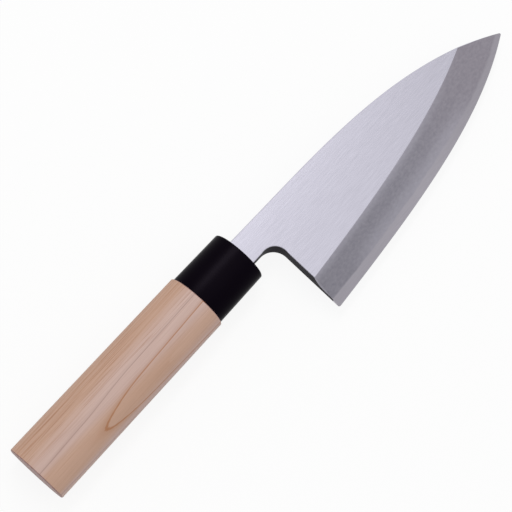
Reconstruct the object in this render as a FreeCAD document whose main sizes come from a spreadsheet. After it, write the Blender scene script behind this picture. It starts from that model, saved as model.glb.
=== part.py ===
import FreeCAD, Part
import Sketcher
import math
import os

# Deba knife: a thick single-bevel blade with a short neck, and a straight oval wooden handle with a black ferrule.
# Working axes: +X along the handle towards the tip, +Y towards the spine, +Z out of the bevelled face.
# While the pieces are built, the origin is the centre of the ferrule's front face, on the handle's axis.
# At the end all pieces are moved together: the lowest point comes to Z = 0 and the plan is centred on the origin.

SIZES = {
    # wooden grip
    "wood_length": 100.15,
    "butt_width": 29.5,
    "butt_thickness": 22.4,
    "butt_chamfer": 0.4,
    "wood_front_width": 29.2,
    "wood_front_thickness": 21.0,
    "wood_front_chamfer": 0.35,
    # ferrule
    "ferrule_length": 28.2,
    "ferrule_back_width": 27.6,
    "ferrule_back_thickness": 19.6,
    "ferrule_front_width": 27.0,
    "ferrule_front_thickness": 18.8,
    "ferrule_front_wall": 3.0,
    "ferrule_side_wall": 1.8,
    "ferrule_rounding": 0.8,
    # fits between the pieces
    "tenon_clearance": 0.1,
    "tenon_end_clearance": 0.3,
    "tang_clearance": 0.12,
    "tang_end_clearance": 2.0,
    # neck and tang
    "neck_length": 14.9,
    "neck_underside": 7.1,
    "notch_radius": 8.0,
    "tang_length": 92.0,
    "tang_end_width": 8.0,
    "tang_end_thickness": 4.0,
    # blade outline: the spine and the edge are one cubic curve each, given by their poles
    "spine_height": 6.65,
    "spine_pole_a_reach": 58.85,
    "spine_pole_a_height": 5.33,
    "spine_pole_b_reach": 116.4,
    "spine_pole_b_height": 9.95,
    "edge_pole_a_reach": 76.8,
    "edge_pole_a_depth": 43.7,
    "edge_pole_b_reach": 128.2,
    "edge_pole_b_depth": 39.05,
    "heel_reach": 13.3,
    "heel_depth": 47.83,
    "heel_rounding": 0.9,
    "tip_reach": 167.6,
    "tip_drop": 18.65,
    "tip_rounding": 0.6,
    # blade section
    "blade_thickness": 7.5,
    "tip_thickness": 3.0,
    "spine_chamfer": 0.35,
    "edge_land": 0.2,
    "bevel_width_heel": 16.47,
    "bevel_width_belly": 17.51,
    "bevel_width_fore": 20.07,
    "bevel_width_tip": 17.83,
    # hard steel layer, and the hollow ground into its back
    "steel_start": 10.0,
    "steel_at_heel": 1.95,
    "steel_at_tip": 0.7,
    "hollow_rim": 2.2,
    "hollow_heel_gap": 3.8,
    "hollow_tip_gap": 10.0,
    "hollow_depth": 0.35,
}

doc = FreeCAD.newDocument("deba_knife")
sheet = doc.addObject("Spreadsheet::Sheet", "sizes")
for row, (alias, number) in enumerate(SIZES.items(), start=1):
    sheet.set(f"A{row}", alias)
    sheet.set(f"B{row}", str(number))
    sheet.setAlias(f"B{row}", alias)
doc.recompute()


def size(alias):
    """The number that the sheet holds for a size."""
    return float(sheet.get(alias))


def tie(thing, field, formula):
    """Bind a property to the sheet. A size is written in the formula with a leading $."""
    thing.setExpression(field, formula.replace("$", "sizes."))


def boolean(kind, name, base, tool):
    """A cut, a fusion or a common part of two solids."""
    result = doc.addObject("Part::" + kind, name)
    result.Base = base
    result.Tool = tool
    doc.recompute()
    return result


# Round pieces about the handle's axis are lofts through ellipses that stand across it.
ACROSS = FreeCAD.Rotation(FreeCAD.Vector(0, 1, 0), FreeCAD.Vector(0, 0, 1), FreeCAD.Vector(1, 0, 0), "ZXY")


def oval_bar(name, stations):
    """A straight-sided loft. Each station is (place along X, width along Y, thickness along Z), as formulas."""
    ovals = []
    for number, (place, width, thickness) in enumerate(stations):
        oval = doc.addObject("Part::Ellipse", f"{name}_oval_{number}")
        oval.Placement = FreeCAD.Placement(FreeCAD.Vector(), ACROSS)
        tie(oval, "Placement.Base.x", place)
        tie(oval, "MajorRadius", f"({width}) / 2")
        tie(oval, "MinorRadius", f"({thickness}) / 2")
        ovals.append(oval)
    bar = doc.addObject("Part::Loft", name)
    bar.Sections = ovals
    bar.Solid = True
    bar.Ruled = True
    doc.recompute()
    return bar


def taper(name, turn, length, near, far):
    """A four-sided taper. near and far give (low, high) across and (low, high) in Z at the two ends, as formulas."""
    wedge = doc.addObject("Part::Wedge", name)
    wedge.Placement = FreeCAD.Placement(FreeCAD.Vector(), FreeCAD.Rotation(FreeCAD.Vector(0, 0, 1), turn))
    tie(wedge, "Ymin", length[0])
    tie(wedge, "Ymax", length[1])
    for end, (across, height) in (("", near), ("2", far)):
        tie(wedge, f"X{end}min", across[0])
        tie(wedge, f"X{end}max", across[1])
        tie(wedge, f"Z{end}min", height[0])
        tie(wedge, f"Z{end}max", height[1])
    doc.recompute()
    return wedge


def tang_taper(name, length, gap):
    """The tang's taper, from the neck's section at the ferrule's front back to its small end, grown by a gap."""
    near = ((f"-$neck_underside - {gap}", f"$spine_height + {gap}"),
            (f"-$blade_thickness / 2 - {gap}", f"$blade_thickness / 2 + {gap}"))
    far = ((f"-$tang_end_width / 2 - {gap}", f"$tang_end_width / 2 + {gap}"),
           (f"-$tang_end_thickness / 2 - {gap}", f"$tang_end_thickness / 2 + {gap}"))
    return taper(name, 90, ("0", length), near, far)


# Handle: an oval bar, chamfered at the butt and at its front rim, with a tenon in front and a socket for the tang.
wood_bar = oval_bar("wood_bar", [
    ("-$ferrule_length - $wood_length", "$butt_width - 2 * $butt_chamfer", "$butt_thickness - 2 * $butt_chamfer"),
    ("-$ferrule_length - $wood_length + $butt_chamfer", "$butt_width", "$butt_thickness"),
    ("-$ferrule_length - $wood_front_chamfer", "$wood_front_width", "$wood_front_thickness"),
    ("-$ferrule_length", "$wood_front_width - 2 * $wood_front_chamfer",
     "$wood_front_thickness - 2 * $wood_front_chamfer"),
])
BORE_WIDTH = "$ferrule_front_width - 2 * $ferrule_side_wall"
BORE_THICKNESS = "$ferrule_front_thickness - 2 * $ferrule_side_wall"
tenon = oval_bar("tenon", [
    (place, BORE_WIDTH + " - 2 * $tenon_clearance", BORE_THICKNESS + " - 2 * $tenon_clearance")
    for place in ("-$ferrule_length", "-$ferrule_front_wall - $tenon_end_clearance")])
wood = boolean("Fuse", "wood", wood_bar, tenon)
socket = tang_taper("socket", "$tang_length + $tang_end_clearance", "$tang_clearance")
handle = boolean("Cut", "handle", wood, socket)

# Ferrule: an oval cap with a rounded front edge, bored from the back for the tenon, slotted in front for the neck.
cap = oval_bar("cap", [("-$ferrule_length", "$ferrule_back_width", "$ferrule_back_thickness"),
                       ("0", "$ferrule_front_width", "$ferrule_front_thickness")])
front_edge = [number for number, edge in enumerate(cap.Shape.Edges, start=1)
              if max(abs(vertex.X) for vertex in edge.Vertexes) < 1e-6]
rounded_cap = doc.addObject("Part::Fillet", "rounded_cap")
rounded_cap.Base = cap
rounded_cap.Edges = [(number, size("ferrule_rounding"), size("ferrule_rounding")) for number in front_edge]
bore = oval_bar("bore", [(place, BORE_WIDTH, BORE_THICKNESS)
                         for place in ("-2 * $ferrule_length", "-$ferrule_front_wall")])
bored_cap = boolean("Cut", "bored_cap", rounded_cap, bore)
neck_slot = doc.addObject("Part::Box", "neck_slot")
tie(neck_slot, "Length", "3 * $ferrule_front_wall")
tie(neck_slot, "Width", "$spine_height + $neck_underside + 2 * $tang_clearance")
tie(neck_slot, "Height", "$blade_thickness + 2 * $tang_clearance")
tie(neck_slot, "Placement.Base.x", "-2 * $ferrule_front_wall")
tie(neck_slot, "Placement.Base.y", "-$neck_underside - $tang_clearance")
tie(neck_slot, "Placement.Base.z", "-$blade_thickness / 2 - $tang_clearance")
ferrule = boolean("Cut", "ferrule", bored_cap, neck_slot)

# Blade outline in the plan. Poles of the two cubic curves run from the neck to the tip.
EDGE = [("$heel_reach", "-$heel_depth"), ("$edge_pole_a_reach", "-$edge_pole_a_depth"),
        ("$edge_pole_b_reach", "-$edge_pole_b_depth"), ("$tip_reach", "-$tip_drop")]
SPINE = [("0", "$spine_height"), ("$spine_pole_a_reach", "$spine_pole_a_height"),
         ("$spine_pole_b_reach", "$spine_pole_b_height"), ("$tip_reach", "-$tip_drop")]
blank = doc.addObject("PartDesign::Body", "blade_blank")


def sketch_on(body, name, role):
    """A sketch on one of the body's own origin planes."""
    sketch = body.newObject("Sketcher::SketchObject", name)
    plane = [each for each in body.Origin.OriginFeatures if each.Role == role][0]
    sketch.AttachmentSupport = [(plane, "")]
    sketch.MapMode = "FlatFace"
    return sketch


def hold_point(sketch, geometry, point, place):
    """Fix a point of a sketch at two formulas, measured from the sketch's origin."""
    for kind, formula in zip(("DistanceX", "DistanceY"), place):
        number = sketch.addConstraint(Sketcher.Constraint(kind, -1, 1, geometry, point, 1.0))
        tie(sketch, f"Constraints[{number}]", formula)


def draw_curve(sketch, poles):
    """A cubic curve held by its four poles. Returns its number in the sketch."""
    drawn = [FreeCAD.Vector(10 * k, k * k, 0) for k in range(4)]
    curve = Part.BSplineCurve()
    curve.buildFromPolesMultsKnots(drawn, [4, 4], [0, 1], False, 3)
    number = sketch.addGeometry(curve)
    sketch.exposeInternalGeometry(number)
    for k, place in enumerate(poles):
        hold_point(sketch, number + 1 + k, 3, place)
    return number


def draw_lines(sketch, corners):
    """Straight lines from corner to corner. Returns the lines' numbers in the sketch."""
    drawn = [FreeCAD.Vector(5 * k, -k, 0) for k in range(len(corners))]
    lines = [sketch.addGeometry(Part.LineSegment(drawn[k], drawn[k + 1])) for k in range(len(corners) - 1)]
    for line, place in zip(lines, corners):
        hold_point(sketch, line, 1, place)
    hold_point(sketch, lines[-1], 2, corners[-1])
    for line, following in zip(lines, lines[1:]):
        sketch.addConstraint(Sketcher.Constraint("Coincident", line, 2, following, 1))
    return lines


outline = sketch_on(blank, "blade_outline", "XY_Plane")
tie(outline, "AttachmentOffset.Base.z", "-$blade_thickness / 2")
draw_curve(outline, EDGE)
draw_curve(outline, SPINE)
draw_lines(outline, [SPINE[0], ("0", "-$neck_underside"), ("$neck_length", "-$neck_underside"), EDGE[0]])
slab = blank.newObject("PartDesign::Pad", "slab")
slab.Profile = outline
tie(slab, "Length", "$blade_thickness")
doc.recompute()


def round_corner(name, base, corner, radius):
    """Round the upright edge of the blade blank that stands at one corner of the plan."""
    names = []
    for number, edge in enumerate(base.Shape.Edges, start=1):
        away = [math.hypot(vertex.X - corner[0], vertex.Y - corner[1]) for vertex in edge.Vertexes]
        if max(away) < 1e-3:
            names.append(f"Edge{number}")
    feature = blank.newObject("PartDesign::Fillet", name)
    feature.Base = (base, names)
    tie(feature, "Radius", radius)
    doc.recompute()
    return feature


notched = round_corner("notch", slab, (size("neck_length"), -size("neck_underside")), "$notch_radius")
heeled = round_corner("heel", notched, (size("heel_reach"), -size("heel_depth")), "$heel_rounding")

# The flat side thins in a straight line from the heel to the tip; the back stays flat.
side = sketch_on(blank, "thinning_outline", "XZ_Plane")
draw_lines(side, [
    ("$neck_length", "$blade_thickness / 2"), ("$tip_reach", "$tip_thickness - $blade_thickness / 2"),
    ("$tip_reach", "$blade_thickness"), ("$neck_length", "$blade_thickness"),
    ("$neck_length", "$blade_thickness / 2")])
thinned = blank.newObject("PartDesign::Pocket", "thinned")
thinned.Profile = side
thinned.SideType = "Symmetric"
tie(thinned, "Length", "4 * $heel_depth")
doc.recompute()

# The two long corners of the spine are eased, and the tip is slightly rounded in the plan.
spine_edges = []
for number, edge in enumerate(thinned.Shape.Edges, start=1):
    middle = edge.valueAt((edge.FirstParameter + edge.LastParameter) / 2)
    upright = abs(edge.Vertexes[0].X - edge.Vertexes[-1].X) < 1e-3
    if middle.y > 0 and not upright:
        spine_edges.append(f"Edge{number}")
eased = blank.newObject("PartDesign::Chamfer", "eased_spine")
eased.Base = (thinned, spine_edges)
tie(eased, "Size", "$spine_chamfer")
doc.recompute()
tipped = round_corner("tip", eased, (size("tip_reach"), -size("tip_drop")), "$tip_rounding")

# Bevel: a surface of straight lines from the edge up to the ridge line (shinogi) on the flat side.
# Each pole of the ridge line lies a bevel width away from the matching pole of the edge, square to its direction.
HALF = size("blade_thickness") / 2


def plan_points(poles):
    """Poles given as formulas of single sizes, as vectors in the plan."""
    def number(formula):
        sign = -1 if formula.startswith("-") else 1
        name = formula.lstrip("-$")
        return sign * size(name) if name != "0" else 0.0
    return [FreeCAD.Vector(number(across), number(up), 0) for across, up in poles]


def square_to(start, end):
    """Unit vector in the plan, square to the way from start to end, to its left."""
    way = end - start
    return FreeCAD.Vector(-way.y, way.x, 0).normalize()


def stretch(poles, first, last):
    """Poles of the same cubic curve taken from one parameter to another (its blossom)."""
    def blossom(parameters):
        points = poles
        for at in parameters:
            points = [a + (b - a) * at for a, b in zip(points, points[1:])]
        return points[0]
    return [blossom([last] * k + [first] * (3 - k)) for k in range(4)]


def curved_face(rows):
    """A face through a grid of poles: cubic along the rows, and of the grid's own degree across them."""
    across = len(rows) - 1
    grid = [list(column) for column in zip(*rows)]
    surface = Part.BSplineSurface()
    surface.buildFromPolesMultsKnots(grid, [4, 4], [across + 1, across + 1], [0, 1], [0, 1],
                                     False, False, 3, across)
    return surface.toShape()


def flat_side(across):
    """Height of the flat side over a point of the plan, on its straight taper from heel to tip."""
    share = (across - size("neck_length")) / (size("tip_reach") - size("neck_length"))
    return HALF + share * (size("tip_thickness") - size("blade_thickness"))


edge_poles = plan_points(EDGE)
normals = [FreeCAD.Vector(0, 1, 0), square_to(edge_poles[0], edge_poles[2]),
           square_to(edge_poles[1], edge_poles[3]), square_to(edge_poles[2], edge_poles[3])]
widths = [size("bevel_width_" + place) for place in ("heel", "belly", "fore", "tip")]
ridge_poles = [pole + normal * width for pole, normal, width in zip(edge_poles, normals, widths)]
edge_line = [FreeCAD.Vector(pole.x, pole.y, size("edge_land") - HALF) for pole in edge_poles]
ridge_line = [FreeCAD.Vector(pole.x, pole.y, flat_side(pole.x)) for pole in ridge_poles]
OVERRUN = 0.05
REACH = 0.25
outer = [edge + (edge - ridge) * REACH for edge, ridge in zip(edge_line, ridge_line)]
inner = [ridge + (ridge - edge) * REACH for edge, ridge in zip(edge_line, ridge_line)]
bevel_face = curved_face([stretch(row, -OVERRUN, 1 + OVERRUN) for row in (outer, inner)])
bevel_cutter = doc.addObject("Part::Feature", "bevel_cutter")
bevel_cutter.Shape = bevel_face.extrude(FreeCAD.Vector(0, 0, 4 * size("blade_thickness")))
bevelled = boolean("Cut", "bevelled_blade", blank, bevel_cutter)

# Two metals: the hard steel is everything below a weld plane that thins with the blade, the iron is the rest.
DEEP = "-2 * $blade_thickness"
SLOPE = "($steel_at_tip - $steel_at_heel) / ($tip_reach - $neck_length)"
WELD_NEAR = f"$steel_at_heel - $blade_thickness / 2 + ($steel_start - $neck_length) * {SLOPE}"
steel_zone = taper("steel_zone", -90, ("$steel_start", "$tip_reach"),
                   (("-2 * $heel_depth", "2 * $heel_depth"), (DEEP, WELD_NEAR)),
                   (("-2 * $heel_depth", "2 * $heel_depth"), (DEEP, "$steel_at_tip - $blade_thickness / 2")))
steel_plate = boolean("Common", "steel_plate", bevelled, steel_zone)
iron = boolean("Cut", "iron", bevelled, steel_zone)
tang = tang_taper("tang", "$tang_length", "0")
blade_cladding = boolean("Fuse", "blade_cladding", iron, tang)

# The back of the steel is ground hollow, so that only a narrow rim all round it lies flat.
# The hollow is a cubic dish: its border runs just under the back's plane, its inner poles stand above it.
rim = size("hollow_rim")
spine_poles = plan_points([("$neck_length", "$spine_height")] + SPINE[1:])
lower_border = [pole + normal * rim for pole, normal in zip(edge_poles, normals)]
upper_border = [FreeCAD.Vector(pole.x, pole.y - rim, 0) for pole in spine_poles]
hollow_start = size("hollow_heel_gap") / (3 * (edge_poles[1].x - edge_poles[0].x))
hollow_stop = 1 - size("hollow_tip_gap") / (3 * (edge_poles[3].x - edge_poles[2].x))
lower_border = stretch(lower_border, hollow_start, hollow_stop)
upper_border = stretch(upper_border, hollow_start, hollow_stop)
BORDER_SINK = 0.1
DISH_SHARE = 0.75 ** 2
border_height = -HALF - BORDER_SINK * size("hollow_depth")
dish_height = border_height + (1 + BORDER_SINK) * size("hollow_depth") / DISH_SHARE
dish_rows = []
for row in range(4):
    heights = [border_height] * 4 if row in (0, 3) else [border_height, dish_height, dish_height, border_height]
    points = [low + (high - low) * (row / 3) for low, high in zip(lower_border, upper_border)]
    dish_rows.append([FreeCAD.Vector(point.x, point.y, height) for point, height in zip(points, heights)])
hollow_cutter = doc.addObject("Part::Feature", "hollow_cutter")
hollow_cutter.Shape = curved_face(dish_rows).extrude(FreeCAD.Vector(0, 0, -size("blade_thickness")))
cutting_steel = boolean("Cut", "cutting_steel", steel_plate, hollow_cutter)

# Set the knife down: lowest point at Z = 0, the plan's middle on the origin.
pieces = [handle, ferrule, blade_cladding, cutting_steel]
box = Part.Compound([piece.Shape for piece in pieces]).optimalBoundingBox(False, False)
shift = FreeCAD.Vector(-(box.XMin + box.XMax) / 2, -(box.YMin + box.YMax) / 2, -box.ZMin)
for piece in pieces:
    piece.Placement = FreeCAD.Placement(shift, FreeCAD.Rotation())
doc.recompute()

for thing in doc.Objects:
    if "Invalid" in thing.State or "Error" in thing.State:
        raise RuntimeError(f"{thing.Name} did not build: {thing.State}")
for piece in pieces:
    shape = piece.Shape
    if shape.isNull() or not shape.isValid() or len(shape.Solids) != 1:
        raise RuntimeError(f"{piece.Label} is not one sound solid")
os.makedirs("parts", exist_ok=True)
for piece in pieces:
    piece.Shape.exportStep(f"parts/{piece.Label}.step")
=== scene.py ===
# %% [markdown]
# # A deba knife, dressed around its solid model
# The solid model gives the frame: four solids in metres, with +X towards the tip, +Y towards the spine
# and +Z out of the bevelled face. Each solid gets a finer surface here, with eased edges and a finish of
# its own. Lengths below are in millimetres, measured from the middle of the ferrule's front face, which
# is the point that handle, ferrule and blade share. One function moves them into the frame.

# %% Load the frame
import bmesh
import bpy
import math
import numpy as np
from mathutils import Matrix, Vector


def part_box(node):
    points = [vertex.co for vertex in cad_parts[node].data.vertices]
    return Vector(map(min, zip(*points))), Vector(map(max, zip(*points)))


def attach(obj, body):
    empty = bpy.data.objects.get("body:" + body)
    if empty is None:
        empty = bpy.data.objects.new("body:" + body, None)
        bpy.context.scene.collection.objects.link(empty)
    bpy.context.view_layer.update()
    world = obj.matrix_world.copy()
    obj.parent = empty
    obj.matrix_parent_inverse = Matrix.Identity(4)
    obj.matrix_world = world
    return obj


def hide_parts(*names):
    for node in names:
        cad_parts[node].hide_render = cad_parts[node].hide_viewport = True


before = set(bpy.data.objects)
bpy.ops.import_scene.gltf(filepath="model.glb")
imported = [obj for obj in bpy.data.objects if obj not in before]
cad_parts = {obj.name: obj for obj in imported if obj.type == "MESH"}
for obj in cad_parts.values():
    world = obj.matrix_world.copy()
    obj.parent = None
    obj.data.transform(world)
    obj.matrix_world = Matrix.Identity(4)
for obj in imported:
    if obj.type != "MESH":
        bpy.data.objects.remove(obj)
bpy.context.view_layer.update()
MM = 0.001
ferrule_low, ferrule_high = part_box("ferrule")
ferrule_y = (ferrule_low.y + ferrule_high.y) / 2
ferrule_z = (ferrule_low.z + ferrule_high.z) / 2
ORIGIN = np.array([ferrule_high.x, ferrule_y, ferrule_z])


def to_row(points):
    """Millimetres from the ferrule's front centre, as metres in the frame."""
    return np.asarray(points, float) * MM + ORIGIN


print("nodes:", sorted(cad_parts), "ferrule front centre:", ORIGIN.round(5))

# %% [markdown]
# ## Camera
# The photograph looks almost straight down on the knife, a little from the butt's end and a little from
# the side of the edge. A camera could be placed by eye, but then every change would need a new try. Here
# three angles say how far the view leans from the vertical and how the handle turns in the picture, and
# one known point has to fall on its pixel. A long lens keeps the perspective weak, as in the photograph.

# %% Camera
LEAN_TO_BUTT = math.radians(15.5)
LEAN_TO_EDGE = math.radians(6.5)
HANDLE_TURN = math.radians(47.231)
FRAME_PIXELS = 512
FOCAL_PIXELS = 1400.0
SENSOR = 36.0
CAMERA_DISTANCE = 616.0
ANCHOR = np.array([0.35, 0.0, 0.0])
ANCHOR_PIXEL = (239.745, 255.108)

to_camera = np.array([-math.sin(LEAN_TO_BUTT), -math.sin(LEAN_TO_EDGE) * math.cos(LEAN_TO_BUTT),
                      math.cos(LEAN_TO_BUTT) * math.cos(LEAN_TO_EDGE)])
along = np.array([1.0, 0.0, 0.0]) - to_camera * to_camera[0]
along /= np.linalg.norm(along)
beside = np.cross(to_camera, along)
right = along * math.cos(HANDLE_TURN) - beside * math.sin(HANDLE_TURN)
up = along * math.sin(HANDLE_TURN) + beside * math.cos(HANDLE_TURN)
across_view = (ANCHOR_PIXEL[0] - FRAME_PIXELS / 2) / FOCAL_PIXELS
up_view = -(ANCHOR_PIXEL[1] - FRAME_PIXELS / 2) / FOCAL_PIXELS
camera_place = to_row(ANCHOR + CAMERA_DISTANCE * (to_camera - right * across_view - up * up_view))

camera = bpy.data.objects.new("camera", bpy.data.cameras.new("camera"))
camera.data.sensor_width = SENSOR
camera.data.lens = FOCAL_PIXELS / FRAME_PIXELS * SENSOR
camera.data.clip_start = 0.01
camera_axes = np.stack([right, up, to_camera, camera_place], 1)
camera.matrix_world = Matrix([*camera_axes.tolist(), [0, 0, 0, 1]])
bpy.context.scene.collection.objects.link(camera)
bpy.context.scene.camera = camera
print("lens", round(camera.data.lens, 2), "mm, camera at", camera_place.round(4))

# %% [markdown]
# ## Patches
# The pieces could be modelled as blocks with Bevel modifiers, but the blade's faces meet at angles that
# change along it, and one bevel width would not suit them all. So each piece is a set of patches. A
# patch is a grid of points, rows by columns, worked out as one array, and a pair of numbers for each
# point that a finish can read.

# %% Patches
def patch(points, finish, spots=None):
    """One grid of points for build_piece, with its finish and the two numbers that the finish may read."""
    points = np.asarray(points, float)
    if spots is None:
        return points, finish, points[..., :2]
    return points, finish, np.stack([np.broadcast_to(spot, points.shape[:2]) for spot in spots], -1)


def joined(patches, finishes):
    """All grids in one: their points, the squares between neighbouring points, and for each square the
    number of its finish, for each point its pair of numbers."""
    vertices, faces, numbers, spots = [], [], [], []
    count = 0
    for points, finish, spot in patches:
        rows, columns = points.shape[:2]
        index = count + np.arange(rows * columns).reshape(rows, columns)
        quads = np.stack([index[:-1, :-1], index[:-1, 1:], index[1:, 1:], index[1:, :-1]], -1).reshape(-1, 4)
        vertices.append(points.reshape(-1, 3))
        spots.append(spot.reshape(-1, 2))
        faces.append(quads)
        numbers.append(np.full(len(quads), finishes.index(finish)))
        count += rows * columns
    return [np.concatenate(part) for part in (vertices, faces, numbers, spots)]


square = patch([[(0, 0, 0), (1, 0, 0)], [(0, 1, 0), (1, 1, 0)]], "plain")
print("a patch of 2 by 2 points has", len(joined([square], ["plain"])[1]), "face")

# %% [markdown]
# ## Closing a piece
# Neighbouring patches share the points of their common border, so merging equal points closes the piece.
# It could be left to one smoothing angle which edges look sharp, but two finishes on the blade meet at a
# low angle and still part crisply. So a fold sharper than a limit is a crisp edge, and so is the border
# of one finish that a piece may name. Everything else shades smoothly.

# %% Pieces
CRISP_FOLD = math.radians(40)
SAME_POINT, SLIVER = 0.002, 0.001
SPOTS = "spots"


def close(mesh, crisp_number):
    """Merge equal points, turn the faces outwards and mark crisp edges. Gives the number of open edges."""
    shell = bmesh.new()
    shell.from_mesh(mesh)
    bmesh.ops.remove_doubles(shell, verts=shell.verts, dist=SAME_POINT * MM)
    bmesh.ops.dissolve_degenerate(shell, dist=SLIVER * MM, edges=shell.edges)
    bmesh.ops.recalc_face_normals(shell, faces=shell.faces)
    for face in shell.faces:
        face.smooth = True
    for edge in shell.edges:
        kinds = {face.material_index for face in edge.link_faces}
        one_finish = crisp_number not in kinds or len(kinds) == 1
        edge.smooth = edge.calc_face_angle(0.0) < CRISP_FOLD and one_finish
    open_edges = sum(not edge.is_manifold for edge in shell.edges)
    shell.to_mesh(mesh)
    shell.free()
    return open_edges


def build_piece(name, patches, finishes, node, crisp=None):
    """A closed mesh from patches, which stands in the frame for one node of the solid model."""
    vertices, faces, numbers, spots = joined(patches, finishes)
    mesh = bpy.data.meshes.new(name)
    mesh.from_pydata(to_row(vertices).tolist(), [], faces.tolist())
    mesh.polygons.foreach_set("material_index", numbers)
    layer = mesh.uv_layers.new(name=SPOTS)
    layer.data.foreach_set("uv", spots[faces.ravel()].ravel().astype(np.float32))
    for finish in finishes:
        mesh.materials.append(finish)
    open_edges = close(mesh, finishes.index(crisp) if crisp else None)
    piece = bpy.data.objects.new(name, mesh)
    bpy.context.scene.collection.objects.link(piece)
    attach(piece, "root")
    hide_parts(node)
    print(name, "faces:", len(mesh.polygons), "edges not closed:", open_edges)


print("folds over", round(math.degrees(CRISP_FOLD)), "degrees stay crisp")

# %% [markdown]
# ## Materials: helpers
# Colours are written as sRGB hex values, as a paint program shows them, and turned into the linear values
# that the renderer works with. One function adds a node: its settings are attributes of the node, each
# input is a plain value, a hex colour or another node's output to link, and what comes back is one output
# of the new node. A pattern's scale comes from the size of its cells in millimetres.

# %% Helpers for materials
SMOOTH = {"interpolation_type": "SMOOTHSTEP"}
COLOUR = {"data_type": "RGBA"}


def linear(colour):
    """An sRGB hex colour as linear red, green, blue and alpha."""
    shares = np.array([int(colour[k:k + 2], 16) for k in (1, 3, 5)]) / 255
    shares = np.where(shares <= 0.04045, shares / 12.92, ((shares + 0.055) / 1.055) ** 2.4)
    return (*shares.tolist(), 1.0)


def add(tree, kind, inputs=None, give=None, **settings):
    """Add a node with its settings, fill or link its inputs, and give back the named or the first output."""
    made = tree.nodes.new("ShaderNode" + kind)
    for name, value in settings.items():
        setattr(made, name, value)
    for socket, value in (inputs or {}).items():
        if isinstance(value, bpy.types.NodeSocket):
            tree.links.new(value, made.inputs[socket])
        else:
            made.inputs[socket].default_value = linear(value) if isinstance(value, str) else value
    if give:
        return made.outputs[give]
    return next((output for output in made.outputs if output.enabled), None)


def new_material(name):
    """A node material and its empty tree."""
    material = bpy.data.materials.new(name)
    material.use_nodes = True
    material.node_tree.nodes.clear()
    return material, material.node_tree


def cells(*sizes):
    """Scales along X, Y and Z that give a pattern over metres cells of these sizes in millimetres."""
    return [1 / (size * MM) for size in sizes]


print("a grey of #808080 is", round(linear("#808080")[0], 3), "in linear light")

# %% [markdown]
# ## Magnolia wood: its rings
# The grip is plain magnolia, sanded and left without varnish: a pale brown with a faint pink cast, a soft
# sheen, and few, thin ring lines. It could be a flat picture wrapped round the oval, but then the lines
# would not run on over the butt. Here the wood is solid: rings about a core that runs beside the handle,
# below it and on the side of the spine. Where the oval cuts the rings steeply it shows straight lines,
# and where it only grazes them it shows the long flame that opens towards the ferrule. The rings lean a
# little against the handle, with a gentle step and a slow sway, because no tree is straight.

# %% Rings of the wood
RING_CORE = (-96.7, 12.6, -25.3)
FLAME_RING, RING_WIDTH = 40.315, 1.5
RING_LEAN = 0.016
RING_STEP, STEP_FROM, STEP_TO = 0.34, -6.0, 26.0
RING_SWAY, SWAY_LENGTH, SWAY_WIDTH = 0.1, 40.0, 12.0

wood, tree = new_material("sanded_magnolia")
place = add(tree, "TexCoord", give="Object")
core = (-to_row(RING_CORE) / MM).tolist()
from_core = add(tree, "Mapping", {"Vector": place, "Location": core, "Scale": [1 / MM] * 3})
around_core = add(tree, "VectorMath", {0: from_core, 1: (0, 1, 1)}, operation="MULTIPLY")
radius = add(tree, "VectorMath", {0: around_core}, operation="LENGTH")
along_core = add(tree, "SeparateXYZ", {0: from_core}, give="X")
step_range = {"Value": along_core, "From Min": STEP_FROM, "From Max": STEP_TO, "To Max": RING_STEP}
step = add(tree, "MapRange", step_range, **SMOOTH)
stepped = add(tree, "Math", {0: radius, 1: step}, operation="ADD")
leaning = add(tree, "Math", {0: along_core, 1: RING_LEAN, 2: stepped}, operation="MULTIPLY_ADD")
sway_scale = (1 / SWAY_LENGTH, 1 / SWAY_WIDTH, 1 / SWAY_WIDTH)
sway_place = add(tree, "Mapping", {"Vector": from_core, "Scale": sway_scale})
sway = add(tree, "TexNoise", {"Vector": sway_place, "Scale": 1.0, "Detail": 3.0})
swayed = add(tree, "Math", {0: sway, 1: RING_SWAY, 2: leaning}, operation="MULTIPLY_ADD")
from_flame = add(tree, "Math", {0: swayed, 1: FLAME_RING + RING_SWAY / 2}, operation="SUBTRACT")
turns = add(tree, "Math", {0: from_flame, 1: RING_WIDTH}, operation="DIVIDE")
ring = add(tree, "Math", {0: turns}, operation="ROUND")
off_ring = add(tree, "Math", {0: turns, 1: ring}, operation="SUBTRACT")
print("rings every", RING_WIDTH, "mm, the flame's at", FLAME_RING, "mm from the core")

# %% [markdown]
# ## Magnolia wood: its ring lines
# A ring ends in a thin dark line, the late wood of that year, which fades inwards. A plain ring pattern
# would draw that line wide wherever the oval only grazes a ring. So a distance across the rings is
# divided by a power of the slant at which the surface crosses them. That keeps each line thin on the
# surface, and a little wider at the tip of the flame. Most lines are faint. The flame's own ring is
# strong and orange brown, and the next one in is greyer.

# %% Ring lines of the wood
LINE_INNER, LINE_OUTER = 0.05, 0.27
LATE_WIDTH, LATE_SHARE = 1.2, 0.35
GRAZING_LIMIT, SLANT_POWER = 1.01, 0.4
FAINT_LOW, FAINT_HIGH, FLAME_MORE, NEXT_MORE = 0.15, 0.4, 0.4, 0.2

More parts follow.
